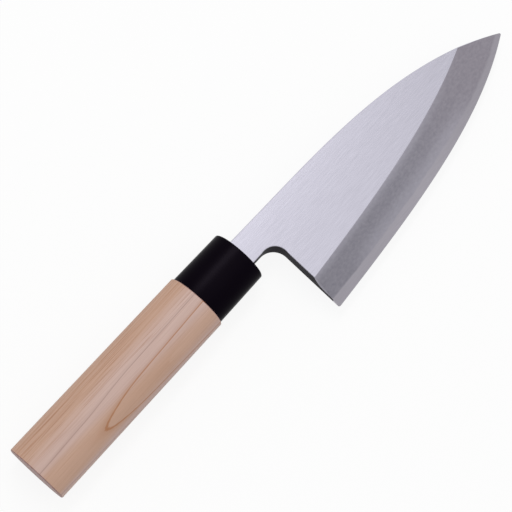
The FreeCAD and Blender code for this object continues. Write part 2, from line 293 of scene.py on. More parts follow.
outward = add(tree, "VectorMath", {0: around_core}, operation="NORMALIZE")
surface = add(tree, "NewGeometry", give="Normal")
facing = add(tree, "VectorMath", {0: outward, 1: surface}, operation="DOT_PRODUCT")
facing_square = add(tree, "Math", {0: facing, 1: facing}, operation="MULTIPLY")
slant_square = add(tree, "Math", {0: GRAZING_LIMIT, 1: facing_square}, operation="SUBTRACT")
slant = add(tree, "Math", {0: slant_square, 1: SLANT_POWER}, operation="POWER")
off_line = add(tree, "Math", {0: off_ring, 1: slant}, operation="DIVIDE")
off_mm = add(tree, "Math", {0: off_line, 1: RING_WIDTH}, operation="MULTIPLY")
off_size = add(tree, "Math", {0: off_mm}, operation="ABSOLUTE")
line = add(tree, "MapRange", {"Value": off_size, "From Min": LINE_OUTER, "From Max": LINE_INNER}, **SMOOTH)
late_range = {"Value": off_mm, "From Min": -LATE_WIDTH, "From Max": 0.0, "To Max": LATE_SHARE}
late = add(tree, "MapRange", late_range, **SMOOTH)
inside = add(tree, "Math", {0: off_mm, 1: LINE_INNER}, operation="LESS_THAN")
late_share = add(tree, "Math", {0: late, 1: inside}, operation="MULTIPLY")
mark = add(tree, "Math", {0: line, 1: late_share}, operation="MAXIMUM")
chance = add(tree, "TexWhiteNoise", {"W": ring}, noise_dimensions="1D")
faint = add(tree, "MapRange", {"Value": chance, "To Min": FAINT_LOW, "To Max": FAINT_HIGH})
at_flame = add(tree, "Math", {0: ring, 1: 0.0, 2: 0.5}, operation="COMPARE")
at_next = add(tree, "Math", {0: ring, 1: -1.0, 2: 0.5}, operation="COMPARE")
stronger = add(tree, "Math", {0: at_flame, 1: FLAME_MORE, 2: faint}, operation="MULTIPLY_ADD")
strength = add(tree, "Math", {0: at_next, 1: NEXT_MORE, 2: stronger}, operation="MULTIPLY_ADD")
line_share = add(tree, "Math", {0: mark, 1: strength}, operation="MULTIPLY")
line_tone = add(tree, "Mix", {"Factor": at_next, "A": "#A3601C", "B": "#7A5248"}, **COLOUR)
print("ring lines up to", 2 * LINE_OUTER, "mm wide")

# %% [markdown]
# ## Magnolia wood: its colour
# Sanded wood shows its fibres as fine lengthwise lines of two close tones, which the eye takes as a
# soft, warm surface. One stretched pattern could serve for all its lines, but the brown streaks are
# longer and belong to the wood further in, towards the core, so they have a pattern of their own. A few
# rings inside the flame the growth was paler and pinker. That band also carries a painted sheen, so it
# is drawn paler than the growth alone. Fibres and streaks are finer than a pixel on the real handle, so
# they are drawn coarser here.

# %% Colour of the wood
FIBRE_LENGTH, FIBRE_WIDTH = 14.0, 0.3
STREAK_LENGTH, STREAK_WIDTH = 30.0, 0.36
STREAK_FROM, STREAK_TO, STREAK_OUTER, STREAK_INNER = 0.54, 0.66, 0.12, 0.45
STREAKED_FROM, STREAKED_TO = 38.5, 36.5
# Where the paler band with its painted sheen lies: across the rings from the flame, and out from the core.
PALE_SHEEN_FROM, PALE_SHEEN_TO = -5.2, -1.6
PALE_SHEEN_END, PALE_SHEEN_FULL = 40.15, 39.2

fibre_scale = (1 / FIBRE_LENGTH, 1 / FIBRE_WIDTH, 1 / FIBRE_WIDTH)
fibre_place = add(tree, "Mapping", {"Vector": from_core, "Scale": fibre_scale})
fibre = add(tree, "TexNoise", {"Vector": fibre_place, "Scale": 1.0, "Detail": 3.0})
growth = add(tree, "Math", {0: off_ring, 1: 0.5}, operation="ADD")
# Painted sheen: the paler, pinker band is partly the wood's own growth and partly a sheen painted into its
# colour.
pale_sheen_rise = add(tree, "MapRange", {"Value": from_flame, "From Min": PALE_SHEEN_FROM, "From Max": PALE_SHEEN_TO}, **SMOOTH)
pale_sheen_fall = add(tree, "MapRange", {"Value": radius, "From Min": PALE_SHEEN_END, "From Max": PALE_SHEEN_FULL}, **SMOOTH)
pale_and_sheen = add(tree, "Math", {0: pale_sheen_rise, 1: pale_sheen_fall}, operation="MULTIPLY")
brown_fibre = add(tree, "Mix", {"Factor": growth, "A": "#D4AE99", "B": "#CEA58E"}, **COLOUR)
light_fibre_with_sheen = add(tree, "Mix", {"Factor": pale_and_sheen, "A": brown_fibre, "B": "#D6B8AD"}, **COLOUR)
dark_fibre_with_sheen = add(tree, "Mix", {"Factor": pale_and_sheen, "A": "#BC9780", "B": "#C1A297"}, **COLOUR)
tone = add(tree, "Mix", {"Factor": fibre, "A": dark_fibre_with_sheen, "B": light_fibre_with_sheen}, **COLOUR)
streak_scale = (1 / STREAK_LENGTH, 1 / STREAK_WIDTH, 1 / STREAK_WIDTH)
streak_place = add(tree, "Mapping", {"Vector": from_core, "Scale": streak_scale})
streak = add(tree, "TexNoise", {"Vector": streak_place, "Scale": 1.0, "Detail": 2.0})
in_streak = add(tree, "MapRange", {"Value": streak, "From Min": STREAK_FROM, "From Max": STREAK_TO}, **SMOOTH)
inner_range = {"Value": radius, "From Min": STREAKED_FROM, "From Max": STREAKED_TO,
               "To Min": STREAK_OUTER, "To Max": STREAK_INNER}
inner_wood = add(tree, "MapRange", inner_range, **SMOOTH)
streak_share = add(tree, "Math", {0: in_streak, 1: inner_wood}, operation="MULTIPLY")
streaked = add(tree, "Mix", {"Factor": streak_share, "A": tone, "B": "#935528"}, **COLOUR)
print("fibres drawn", FIBRE_WIDTH, "mm wide, streaks", STREAK_WIDTH, "mm")

# %% [markdown]
# ## Magnolia wood: its end grain
# The butt shows the fibres' ends, which drink the light: a darker brown with fine pores and the same
# rings. It could have a material of its own, but the rings have to run on over its edge. So the way the
# surface faces tells the butt from the sides, and one material serves the whole grip. Bare sanded wood
# reflects softly, hence the middling roughness.

# %% End grain and sheen
PORE, PORE_FROM, PORE_TO = 0.5, 0.45, 0.7
END_FROM, END_TO = 0.3, 0.6

across = add(tree, "SeparateXYZ", {0: surface}, give="X")
across_size = add(tree, "Math", {0: across}, operation="ABSOLUTE")
pore_place = add(tree, "Mapping", {"Vector": place, "Scale": cells(PORE, PORE, PORE)})
pore = add(tree, "TexNoise", {"Vector": pore_place, "Scale": 1.0, "Detail": 2.0})
in_pore = add(tree, "MapRange", {"Value": pore, "From Min": PORE_FROM, "From Max": PORE_TO}, **SMOOTH)
end_wood = add(tree, "Mix", {"Factor": growth, "A": "#AA8580", "B": "#9B7772"}, **COLOUR)
end_tone = add(tree, "Mix", {"Factor": in_pore, "A": end_wood, "B": "#83605C"}, **COLOUR)
on_end = add(tree, "MapRange", {"Value": across_size, "From Min": END_FROM, "From Max": END_TO}, **SMOOTH)
ended = add(tree, "Mix", {"Factor": on_end, "A": streaked, "B": end_tone}, **COLOUR)
lined = add(tree, "Mix", {"Factor": line_share, "A": ended, "B": line_tone}, **COLOUR)
dents = add(tree, "Bump", {"Height": fibre, "Strength": 0.1, "Distance": 0.05 * MM})
shader = add(tree, "BsdfPrincipled", {"Base Color": lined, "Normal": dents, "Roughness": 0.5, "IOR": 1.55})
add(tree, "OutputMaterial", {"Surface": shader})
print("wood nodes:", len(tree.nodes))

# %% [markdown]
# ## Black resin
# The ferrule is moulded in black resin in place of buffalo horn. One plain gloss could do for it, but
# that would look as hard and clear as glass. The real one is rubbed to a satin, so the eye sees no clear
# reflections, only one soft line of light along its length. The rubbing runs lengthwise and changes the
# roughness a little from line to line.

# %% Black resin
RUB_LENGTH, RUB_WIDTH = 8.0, 0.5
RUBBED_LOW, RUBBED_HIGH = 0.27, 0.35

resin, tree = new_material("black_moulded_resin")
place = add(tree, "TexCoord", give="Object")
rub_place = add(tree, "Mapping", {"Vector": place, "Scale": cells(RUB_LENGTH, RUB_WIDTH, RUB_WIDTH)})
rub = add(tree, "TexNoise", {"Vector": rub_place, "Scale": 1.0, "Detail": 2.0})
gloss = add(tree, "MapRange", {"Value": rub, "To Min": RUBBED_LOW, "To Max": RUBBED_HIGH})
tint = add(tree, "Mix", {"Factor": rub, "A": "#050208", "B": "#07030A"}, **COLOUR)
shader = add(tree, "BsdfPrincipled", {"Base Color": tint, "Roughness": gloss, "Specular IOR Level": 0.05,
                                      "Specular Tint": "#EBD9F5"})
add(tree, "OutputMaterial", {"Surface": shader})
print("resin nodes:", len(tree.nodes))

# %% [markdown]
# ## Satin iron and ground steel
# The flat side and the spine are ground lengthwise to a satin: many fine lines that the eye sees as one
# soft shine. The shader's anisotropy could give such a shine, but not every viewer of an exported model
# draws it, so the lines themselves are drawn. On the flat side a line is a change of tone and a slight
# dent. A grinder's lines are finer than a pixel here, so these are wider and fainter. The back is ground
# hollow, across the blade and a little duller, and only its rim is polished on the stone.

# %% Satin and ground metal
SATIN_LENGTH, SATIN_WIDTH = 9.0, 0.34
GROUND_LENGTH, GROUND_DEPTH, RIM_BLEND = 14.0, 2.0, 0.02
RIM_ROUGHNESS, HOLLOW_ROUGHNESS = 0.25, 0.4

satin, tree = new_material("satin_ground_iron")
place = add(tree, "TexCoord", give="Object")
line_place = add(tree, "Mapping", {"Vector": place, "Scale": cells(SATIN_LENGTH, SATIN_WIDTH, SATIN_WIDTH)})
lines = add(tree, "TexNoise", {"Vector": line_place, "Scale": 1.0, "Detail": 4.0})
scratch = add(tree, "Bump", {"Height": lines, "Strength": 0.09, "Distance": 0.02 * MM})
satin_tone = add(tree, "Mix", {"Factor": lines, "A": "#B3B1BD", "B": "#CAC8D5"}, **COLOUR)
shader = add(tree, "BsdfPrincipled", {"Base Color": satin_tone, "Normal": scratch, "Metallic": 1.0,
                                      "Roughness": 0.19})
add(tree, "OutputMaterial", {"Surface": shader})

ground, tree = new_material("hollow_ground_steel")
place = add(tree, "TexCoord", give="Object")
line_place = add(tree, "Mapping", {"Vector": place, "Scale": cells(SATIN_WIDTH, GROUND_LENGTH, GROUND_DEPTH)})
lines = add(tree, "TexNoise", {"Vector": line_place, "Scale": 1.0, "Detail": 4.0})
spot = add(tree, "UVMap", uv_map=SPOTS)
lift_there = add(tree, "SeparateXYZ", {0: spot}, give="Y")
in_hollow = add(tree, "MapRange", {"Value": lift_there, "From Min": 0.0, "From Max": RIM_BLEND}, **SMOOTH)
hollow_tone = add(tree, "Mix", {"Factor": lines, "A": "#8F8E98", "B": "#A2A1AB"}, **COLOUR)
back_tone = add(tree, "Mix", {"Factor": in_hollow, "A": "#B9B8C2", "B": hollow_tone}, **COLOUR)
rough_range = {"Value": in_hollow, "To Min": RIM_ROUGHNESS, "To Max": HOLLOW_ROUGHNESS}
rough = add(tree, "MapRange", rough_range, **SMOOTH)
shader = add(tree, "BsdfPrincipled", {"Base Color": back_tone, "Roughness": rough, "Metallic": 1.0})
add(tree, "OutputMaterial", {"Surface": shader})
print("materials:", satin.name, ground.name)

# %% [markdown]
# ## Honed bevel: the border of the two metals
# The bevel runs over both metals. Honed with a soft stone, the iron takes a cloudy matt grey, and the
# hard steel below it stays a little brighter. Two materials that meet where the two pieces do would make
# a hard line. On the real blade it is soft and slightly wavy, because it is a forge weld. So one
# material serves both pieces. It reads two numbers of each spot: its share of the way from the edge to
# the ridge, and how far it lies above the border.

# %% Border on the bevel
BORDER_SOFTNESS, TIP_SOFTNESS = 0.45, 0.8
BORDER_WAVE, WAVE, TIP_NARROWER = 0.9, 4.0, 0.5
TIP_FROM, TIP_TO = 70.0, 150.0

honed, tree = new_material("stone_honed_bevel")
place = add(tree, "TexCoord", give="Object")
front = (-ORIGIN / MM).tolist()
from_front = add(tree, "Mapping", {"Vector": place, "Location": front, "Scale": [1 / MM] * 3})
along_x = add(tree, "SeparateXYZ", {0: from_front}, give="X")
spot = add(tree, "UVMap", uv_map=SPOTS)
to_ridge = add(tree, "SeparateXYZ", {0: spot}, give="X")
above_border = add(tree, "SeparateXYZ", {0: spot}, give="Y")
wave_place = add(tree, "Mapping", {"Vector": place, "Scale": cells(WAVE, WAVE, WAVE)})
wave = add(tree, "TexNoise", {"Vector": wave_place, "Scale": 1.0, "Detail": 2.0})
waved = add(tree, "Math", {0: wave, 1: BORDER_WAVE, 2: above_border}, operation="MULTIPLY_ADD")
near_tip = add(tree, "MapRange", {"Value": along_x, "From Min": TIP_FROM, "From Max": TIP_TO}, **SMOOTH)
shift_range = {"Value": near_tip, "To Min": -BORDER_WAVE / 2, "To Max": TIP_NARROWER - BORDER_WAVE / 2}
shift = add(tree, "MapRange", shift_range, **SMOOTH)
off_border = add(tree, "Math", {0: waved, 1: shift}, operation="ADD")
soft_range = {"Value": near_tip, "To Min": BORDER_SOFTNESS, "To Max": TIP_SOFTNESS}
softness = add(tree, "MapRange", soft_range, **SMOOTH)
border_steps = add(tree, "Math", {0: off_border, 1: softness}, operation="DIVIDE")
on_iron = add(tree, "MapRange", {"Value": border_steps, "From Min": -1.0, "From Max": 1.0}, **SMOOTH)
print("border of iron and steel", 2 * BORDER_SOFTNESS, "mm soft at the heel,", 2 * TIP_SOFTNESS, "at the tip")

# %% [markdown]
# ## Honed bevel: its mist
# The stone leaves clouds on the iron that the eye sees as mist. They could be painted, but a noise with
# cells of their size needs no picture and has no seams. They are paler along the border, except at heel
# and tip. Along the ridge, where the bevel rolls into the flat, a painted sheen draws the iron towards
# the flat's bright tone. Towards the tip both metals are drawn darker: painted shade, where the light
# falls off along the blade. The steel shows fine strokes along the edge, drawn coarser than they are. A
# matt stone finish has a high roughness for a metal.

# %% Mist on the bevel
CLOUD_LENGTH, CLOUD_WIDTH = 1.8, 1.2
STROKE_LENGTH, STROKE_WIDTH = 9.0, 0.35
MIST_WIDTH, MIST_SHARE = 8.0, 0.31
MIST_HEEL, MIST_TIP = (25.0, 48.0), (138.0, 108.0)
ROLL_SHEEN_START, ROLL_SHEEN_SHARE, ROLL_SHEEN_FROM, ROLL_SHEEN_TO = 0.77, 0.36, 150.0, 80.0
STEEL_ROUGHNESS, IRON_ROUGHNESS = 0.44, 0.52

cloud_place = add(tree, "Mapping", {"Vector": place, "Scale": cells(CLOUD_LENGTH, CLOUD_WIDTH, CLOUD_WIDTH)})
cloud = add(tree, "TexNoise", {"Vector": cloud_place, "Scale": 1.0, "Detail": 5.0})
stroke_scale = cells(STROKE_LENGTH, STROKE_WIDTH, STROKE_WIDTH)
stroke_place = add(tree, "Mapping", {"Vector": place, "Scale": stroke_scale})
strokes = add(tree, "TexNoise", {"Vector": stroke_place, "Scale": 1.0, "Detail": 2.0})
# Painted shade: the tip's tones of iron and steel are darker, where the light falls off along the blade.
iron_heel = add(tree, "Mix", {"Factor": cloud, "A": "#878590", "B": "#AAA7B1"}, **COLOUR)
iron_tip_shaded = add(tree, "Mix", {"Factor": cloud, "A": "#8B8690", "B": "#A7A2AB"}, **COLOUR)
steel_heel = add(tree, "Mix", {"Factor": strokes, "A": "#AFABB3", "B": "#BEBAC4"}, **COLOUR)
steel_tip_shaded = add(tree, "Mix", {"Factor": strokes, "A": "#9F9BA3", "B": "#ACA8B1"}, **COLOUR)
iron_shaded_tone = add(tree, "Mix", {"Factor": near_tip, "A": iron_heel, "B": iron_tip_shaded}, **COLOUR)
steel_shaded_tone = add(tree, "Mix", {"Factor": near_tip, "A": steel_heel, "B": steel_tip_shaded}, **COLOUR)
mist_range = {"Value": off_border, "From Min": MIST_WIDTH, "From Max": 0.0, "To Max": MIST_SHARE}
mist = add(tree, "MapRange", mist_range, **SMOOTH)
for start, stop in (MIST_HEEL, MIST_TIP):
    part = add(tree, "MapRange", {"Value": along_x, "From Min": start, "From Max": stop}, **SMOOTH)
    mist = add(tree, "Math", {0: mist, 1: part}, operation="MULTIPLY")
misted = add(tree, "Mix", {"Factor": mist, "A": iron_shaded_tone, "B": "#CFCCD8"}, **COLOUR)
# Painted sheen: near the ridge the iron is drawn towards the flat's bright tone, as the rounding would catch
# the light like the flat.
roll_range = {"Value": to_ridge, "From Min": ROLL_SHEEN_START, "From Max": 1.0, "To Max": ROLL_SHEEN_SHARE}
roll_sheen = add(tree, "MapRange", roll_range, **SMOOTH)
roll_sheen_part = add(tree, "MapRange", {"Value": along_x, "From Min": ROLL_SHEEN_FROM, "From Max": ROLL_SHEEN_TO}, **SMOOTH)
rolled_sheen = add(tree, "Math", {0: roll_sheen, 1: roll_sheen_part}, operation="MULTIPLY")
iron_with_sheen = add(tree, "Mix", {"Factor": rolled_sheen, "A": misted, "B": "#C9C6D2"}, **COLOUR)
bevel_tone = add(tree, "Mix", {"Factor": on_iron, "A": steel_shaded_tone, "B": iron_with_sheen}, **COLOUR)
rough_range = {"Value": on_iron, "To Min": STEEL_ROUGHNESS, "To Max": IRON_ROUGHNESS}
rough = add(tree, "MapRange", rough_range, **SMOOTH)
shader = add(tree, "BsdfPrincipled", {"Base Color": bevel_tone, "Roughness": rough, "Metallic": 1.0})
add(tree, "OutputMaterial", {"Surface": shader})
print("bevel nodes:", len(tree.nodes))

# %% [markdown]
# ## Forge scale
# Under the neck, in the notch and on the heel's rear face the blade keeps the black oxide of the forge,
# rough and nearly black. A dark metal could stand for it, but that would still mirror the pale floor,
# and the eye knows oxide by its lack of shine. So it is no metal for the shader.

# %% Forge scale
FLAKE = 0.9

scale, tree = new_material("forge_scale")
place = add(tree, "TexCoord", give="Object")
flake_place = add(tree, "Mapping", {"Vector": place, "Scale": cells(FLAKE, FLAKE, FLAKE)})
flakes = add(tree, "TexNoise", {"Vector": flake_place, "Scale": 1.0, "Detail": 4.0})
pits = add(tree, "Bump", {"Height": flakes, "Strength": 0.4, "Distance": 0.05 * MM})
scale_tone = add(tree, "Mix", {"Factor": flakes, "A": "#1F1C21", "B": "#2D2930"}, **COLOUR)
shader = add(tree, "BsdfPrincipled", {"Base Color": scale_tone, "Normal": pits, "Roughness": 0.6,
                                      "Specular IOR Level": 0.08})
add(tree, "OutputMaterial", {"Surface": shader})
print("materials:", honed.name, scale.name)

# %% [markdown]
# ## Rings across the axis
# Grip and ferrule are oval bars with eased edges. A modeller could scale a cylinder and bevel it, but
# these bars taper and are hollow. So each row of a grid is one ring across the axis, and a profile with
# rounded corners says at which place and how wide each ring is.

# %% Rings
AROUND = 96
TURN = np.linspace(0, 2 * math.pi, AROUND + 1)


def oval_ring(x, width, thickness):
    """Ring across the axis at x: an ellipse, (width / 2) cos a across and (thickness / 2) sin a up."""
    return np.stack([np.full_like(TURN, x), width / 2 * np.cos(TURN), thickness / 2 * np.sin(TURN)], -1)


def square_ring(x, low, high, thickness):
    """Ring across the axis at x: a rectangle, from a circle's points pushed out to the sides of a square."""
    reach = np.maximum(np.abs(np.cos(TURN)), np.abs(np.sin(TURN)))
    y = (low + high) / 2 + (high - low) / 2 * np.cos(TURN) / reach
    return np.stack([np.full_like(TURN, x), y, thickness / 2 * np.sin(TURN) / reach], -1)


def middle_ring(x):
    """A ring drawn in to one point of the axis, which closes an end."""
    return np.repeat([[x, 0.0, 0.0]], AROUND + 1, 0)


def eased(corners, radius, steps=4):
    """A polyline with its inner corners rounded: each becomes an arc that touches both of its sides."""
    corners = np.asarray(corners, float)
    rows = [corners[:1]]
    for before, corner, after in zip(corners, corners[1:], corners[2:]):
        into = (corner - before) / np.linalg.norm(corner - before)
        out = (after - corner) / np.linalg.norm(after - corner)
        turn = math.acos(np.clip(into @ out, -1, 1))
        reach = radius * math.tan(turn / 2)
        middle = corner + (out - into) / np.linalg.norm(out - into) * radius / math.cos(turn / 2)
        first = corner - into * reach - middle
        angle = np.linspace(0, 1, steps + 1)[:, None] * turn
        rows.append(middle + first * np.cos(angle) + into * radius * np.sin(angle))
    return np.concatenate(rows + [corners[-1:]])


print("points round a ring:", AROUND)

# %% [markdown]
# ## Handle
# The grip is 29.2 to 29.5 mm wide, with a chamfer round the butt and a fine one round the front rim. In
# front it carries a tenon for the ferrule, and a tapered socket runs through both for the tang. The
# socket could be cut with a Boolean modifier, but that leaves ragged faces round the cut. Here one list
# of rings gives the outside, the tenon and the inside of the socket as one closed surface.

# %% Handle
WOOD_LENGTH, WOOD_FRONT, WOOD_BUTT = 100.15, (29.2, 21.0), (29.5, 22.38)
FERRULE_LENGTH, FERRULE_BACK, FERRULE_FRONT = 28.2, (27.6, 19.6), (27.0, 18.8)
FERRULE_WALL, FERRULE_SIDE = 3.0, 1.8
BUTT_CHAMFER, RIM_CHAMFER, CHAMFER_EASE = 0.4, 0.35, 0.2
RIM_FACE, BUTT_FACE = 2.0, 4.0
TENON_GAP, TENON_END_GAP, TANG_GAP = 0.1, 0.3, 0.12
NECK_LOW, NECK_HIGH, BLADE_THICKNESS = -7.1, 6.65, 7.5
TANG_LENGTH, TANG_END_GAP, TANG_END = 92.0, 2.0, (8.0, 4.0)
BORE = (FERRULE_FRONT[0] - 2 * FERRULE_SIDE, FERRULE_FRONT[1] - 2 * FERRULE_SIDE)
TENON = (BORE[0] - 2 * TENON_GAP, BORE[1] - 2 * TENON_GAP)
WOOD_START = -FERRULE_LENGTH
BUTT = -FERRULE_LENGTH - WOOD_LENGTH


def socket_ring(x):
    """The socket's rectangle at x, on the tang's straight taper grown by its clearance."""
    share = -x / (TANG_LENGTH + TANG_END_GAP)
    low = NECK_LOW + share * (-TANG_END[0] / 2 - NECK_LOW) - TANG_GAP
    high = NECK_HIGH + share * (TANG_END[0] / 2 - NECK_HIGH) + TANG_GAP
    return square_ring(x, low, high, BLADE_THICKNESS + share * (TANG_END[1] - BLADE_THICKNESS) + 2 * TANG_GAP)


def wood_ring(x, inset):
    """The grip's oval at x, on the straight taper from front to butt, drawn in by an inset."""
    share = np.clip((WOOD_START - x) / WOOD_LENGTH, 0, 1)
    width, thickness = (front + share * (butt - front) for front, butt in zip(WOOD_FRONT, WOOD_BUTT))
    return oval_ring(x, width - 2 * inset, thickness - 2 * inset)


grip_profile = eased([(WOOD_START, RIM_FACE), (WOOD_START, RIM_CHAMFER), (WOOD_START - RIM_CHAMFER, 0.0),
                      (BUTT + BUTT_CHAMFER, 0.0), (BUTT, BUTT_CHAMFER), (BUTT, BUTT_FACE)], CHAMFER_EASE)
tenon_front = -FERRULE_WALL - TENON_END_GAP
socket_end = -TANG_LENGTH - TANG_END_GAP
rings = [middle_ring(socket_end), socket_ring(socket_end), socket_ring(tenon_front),
         oval_ring(tenon_front, *TENON), oval_ring(WOOD_START, *TENON)]
rings += [wood_ring(x, inset) for x, inset in grip_profile]
rings.append(middle_ring(BUTT))
build_piece("handle_wood", [patch(np.stack(rings), wood)], [wood], "handle")

# %% [markdown]
# ## Ferrule
# The black collar holds the wood together where the tang enters. It is a cap with a rounded front edge,
# open at the back for the tenon and slotted in front for the neck. A tube with a Solidify modifier would
# have one thickness, but the front wall is thicker than the sides. So the same rings make it, and the
# list ends where it began.

# %% Ferrule
FERRULE_ROUNDING, BACK_ROUNDING = 0.8, 0.2
FRONT_FACE, BACK_FACE = 1.6, 0.8
FRONT_STEPS, BACK_STEPS = 6, 3


def collar_ring(x, inset):
    """The ferrule's oval at x, on its straight taper from back to front, drawn in by an inset."""
    share = np.clip((x + FERRULE_LENGTH) / FERRULE_LENGTH, 0, 1)
    width, thickness = (back + share * (front - back) for back, front in zip(FERRULE_BACK, FERRULE_FRONT))
    return oval_ring(x, width - 2 * inset, thickness - 2 * inset)


def slot_ring(x):
    """The slot for the neck: the neck's rectangle grown by its clearance."""
    return square_ring(x, NECK_LOW - TANG_GAP, NECK_HIGH + TANG_GAP, BLADE_THICKNESS + 2 * TANG_GAP)


half_way = (-FERRULE_LENGTH / 2, 0.0)
front_profile = eased([half_way, (0.0, 0.0), (0.0, FRONT_FACE)], FERRULE_ROUNDING, FRONT_STEPS)
back_corners = [(-FERRULE_LENGTH, BACK_FACE), (-FERRULE_LENGTH, 0.0), half_way]
back_profile = eased(back_corners, BACK_ROUNDING, BACK_STEPS)
rings = [oval_ring(-FERRULE_LENGTH, *BORE)]
rings += [collar_ring(x, inset) for x, inset in np.concatenate([back_profile, front_profile[1:]])]
rings += [slot_ring(0.0), slot_ring(-FERRULE_WALL), oval_ring(-FERRULE_WALL, *BORE), rings[0]]
build_piece("ferrule_resin", [patch(np.stack(rings), resin)], [resin], "ferrule")

# %% [markdown]
# ## Blade: its lines
# A deba is thick at the heel, flat on the back, and ground on one side only. In the plan its edge and
# its spine are one cubic curve each. A third curve, the ridge where the bevel starts, keeps nearly the
# same way off the edge. They could be curve objects drawn by hand, but as formulas they give a point or
# a direction wherever a grid needs one.

# %% Curves
TIP = (167.6, -18.65)
EDGE = np.array([(13.3, -47.83), (76.8, -43.7), (128.2, -39.05), TIP])
SPINE = np.array([(0.0, NECK_HIGH), (58.85, 5.33), (116.4, 9.95), TIP])
BEVEL_WIDTHS = np.array([16.47, 17.51, 20.07, 17.83])


def unit(ways):
    """Vectors of length one."""
    ways = np.asarray(ways, float)
    return ways / np.linalg.norm(ways, axis=-1, keepdims=True)


def left_of(ways):
    """Unit vectors a quarter turn to the left of the given ways in the plan."""
    ways = unit(ways)
    return np.stack([-ways[..., 1], ways[..., 0]], -1)


def cubic(poles, t):
    """Points of a cubic curve: its poles weighted by (1-t)^3, 3t(1-t)^2, 3t^2(1-t) and t^3."""
    t = np.asarray(t, float)[..., None]
    weights = (1 - t) ** 3, 3 * t * (1 - t) ** 2, 3 * t ** 2 * (1 - t), t ** 3
    return sum(weight * pole for weight, pole in zip(weights, poles))


def cubic_way(poles, t):
    """Directions of a cubic curve: the steps between its poles weighted by (1-t)^2, 2t(1-t) and t^2."""
    t = np.asarray(t, float)[..., None]
    steps = np.diff(poles, axis=0)
    return (1 - t) ** 2 * steps[0] + 2 * t * (1 - t) * steps[1] + t ** 2 * steps[2]


edge_sides = left_of([EDGE[2] - EDGE[0], EDGE[3] - EDGE[1], EDGE[3] - EDGE[2]])
EDGE_SIDE = np.concatenate([[(0.0, 1.0)], edge_sides])
RIDGE = EDGE + EDGE_SIDE * BEVEL_WIDTHS[:, None]
print("edge from", EDGE[0], "to", EDGE[3], "and ridge from", RIDGE[0].round(2))

# %% [markdown]
# ## Blade: where its lines cross
# The points that hold the blade's shape, such as the one where the ridge runs into the spine, are
# crossings of these curves. They could be read off a drawing, but then a change of one curve would leave
# them behind. One function finds a crossing by halving an interval, for whole arrays at once. Another
# finds the straight line between two curves that passes through a point, because the bevel is made of
# such lines.

# %% Crossings
def crossing(miss, low, high, halvings=45):
    """Where a function crosses zero between low and high: the half whose ends differ in sign is kept."""
    low, high = (np.array(end, float) for end in np.broadcast_arrays(low, high))
    start = np.sign(miss(low))
    for _ in range(halvings):
        middle = (low + high) / 2
        same = np.sign(miss(middle)) == start
        low, high = np.where(same, middle, low), np.where(same, high, middle)
    return (low + high) / 2


def spine_at(x):
    """Parameter of the spine's point at x."""
    return crossing(lambda t: cubic(SPINE, t)[..., 0] - x, np.zeros_like(x), np.ones_like(x))


def ruled(first, second, points):
    """For points of the plan, the parameter t of the straight line from first(t) to second(t) that passes
    through each of them, and the share of that line at which it lies."""
    def side(t):
        """Which side of the line at t the points lie on: the cross product of its way and theirs."""
        start = cubic(first, t)
        way = cubic(second, t) - start
        return way[..., 0] * (points[..., 1] - start[..., 1]) - way[..., 1] * (points[..., 0] - start[..., 0])
    t = crossing(side, np.full(points.shape[:-1], -0.2), np.full(points.shape[:-1], 1.2))
    start = cubic(first, t)
    way = cubic(second, t) - start
    return t, ((points - start) * way).sum(-1) / (way ** 2).sum(-1)


print("half way to the tip the spine is at t =", spine_at(TIP[0] / 2).round(4))

# %% [markdown]
# ## Blade: its heights
# Every face of the blade is a height over the plan. Cutting planes could carve it from a block, as a
# grinder does, but heights can be asked for at any point, so two grids that meet there get the same
# points. The flat side falls in a straight line from heel to tip. The weld between iron and steel is a
# plane that thins with the blade. The back is level, and the tang tapers on both sides.

# %% Heights
NECK_LENGTH, TIP_THICKNESS = 14.9, 3.0
BACK = -BLADE_THICKNESS / 2
STEEL_AT_HEEL, STEEL_AT_TIP, STEEL_START = 1.95, 0.7, 10.0


def along_blade(x):
    """Share of the way from the neck's end to the tip."""
    return (x - NECK_LENGTH) / (TIP[0] - NECK_LENGTH)


def tang_share(x):
    """Share of the way from the ferrule's front back to the tang's end."""
    return np.clip(-x / TANG_LENGTH, 0, 1)


def flat_height(x):
    """Flat side: level on the neck, falling evenly to the tip, and tapering back along the tang."""
    fall = np.maximum(along_blade(x), 0) * (TIP_THICKNESS - BLADE_THICKNESS)
    return -BACK + fall + tang_share(x) * (TANG_END[1] / 2 + BACK)


def back_height(x):
    """Back: level under blade and neck, and tapering along the tang."""
    return BACK - tang_share(x) * (TANG_END[1] / 2 + BACK)


def weld_height(x):
    """Weld plane over the back, level behind the place where the steel starts."""
    return BACK + STEEL_AT_HEEL + along_blade(np.maximum(x, STEEL_START)) * (STEEL_AT_TIP - STEEL_AT_HEEL)


print("flat side at the neck", flat_height(0.0), "mm, at the tip", flat_height(TIP[0]), "mm over the axis")

# %% [markdown]
# ## Blade: bevel and hollow
# Two faces of the blade are ground and not flat. The bevel rises evenly along straight lines from the
# edge to the ridge, and it twists, because the blade thins towards the tip. The hollow on the back is
# shallow and as smooth as the large wheel that ground it. A sculpted dent could look like it, but a
# product of two parabolas gives its depth everywhere and ends in a clear line.

# %% Bevel and hollow
EDGE_LAND = 0.2
HOLLOW_RIM, HOLLOW_DEPTH, HOLLOW_HEEL_GAP, HOLLOW_TIP_GAP = 2.2, 0.35, 3.8, 10.0
HOLLOW_SINK = 0.1
LOWER_RIM = EDGE + EDGE_SIDE * HOLLOW_RIM
UPPER_RIM = np.concatenate([[(NECK_LENGTH, NECK_HIGH)], SPINE[1:]]) - (0.0, HOLLOW_RIM)


